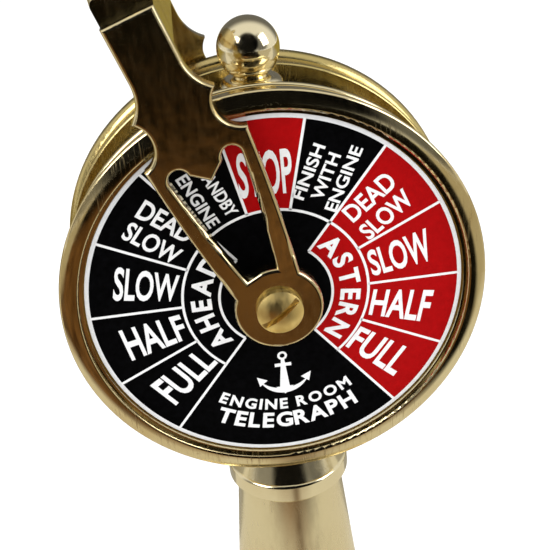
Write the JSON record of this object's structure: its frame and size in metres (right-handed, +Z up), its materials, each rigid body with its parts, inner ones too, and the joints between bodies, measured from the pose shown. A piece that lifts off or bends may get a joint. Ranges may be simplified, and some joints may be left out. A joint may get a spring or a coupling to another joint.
{
  "type": "ship engine telegraph",
  "caption": "Desk-size double-faced engine order telegraph: a drum with a printed dial at each end on a turned pedestal, and a forked lever that straddles the drum.",
  "frame": {"origin": "middle of the foot's underside, on the surface it stands on", "axes": "+Z up, -Y towards the front dial's reader, +X to that reader's right; the axle lies along Y"},
  "size_m": [0.096, 0.096, 0.2348],
  "materials": {
    "polished_brass": "polished, lacquered brass",
    "satin_brass": "satin turned brass",
    "bush_brass": "plain turned brass",
    "steel": "bright zinc-plated steel",
    "dial_print": "screen-printed dial, satin varnish"
  },
  "bodies": {
    "root": {"barrel": "polished_brass", "base_foot": "satin_brass", "column": "satin_brass", "drum_nut": "steel", "drum_washer": "steel", "finial_ball": "polished_brass", "finial_flange": "polished_brass", "finial_nut": "steel", "foot_nut": "steel", "foot_washer": "steel", "front_bezel": "polished_brass", "front_bush": "bush_brass", "front_dial_card": "dial_print", "front_dial_plate": "bush_brass", "neck_collar": "satin_brass", "rear_bezel": "polished_brass", "rear_bush": "bush_brass", "rear_dial_card": "dial_print", "rear_dial_plate": "bush_brass", "tie_rod": "steel"},
    "lever": {"axle": "steel", "bridge_dowels": "steel", "front_lever": "polished_brass", "front_pivot_screw": "polished_brass", "front_spring_washer": "steel", "handle_ferrule": "polished_brass", "handle_stud": "steel", "lever_bridge": "polished_brass", "lever_handle": "polished_brass", "rear_lever": "polished_brass", "rear_pivot_screw": "polished_brass", "rear_spring_washer": "steel"}
  },
  "joints": [
    {"name": "lever_turn", "type": "hinge", "parent": "root", "child": "lever", "pos_m": [0, 0, 0.136], "axis": [0, 1, 0], "range_deg": [-108.9, 147.9]}
  ]
}
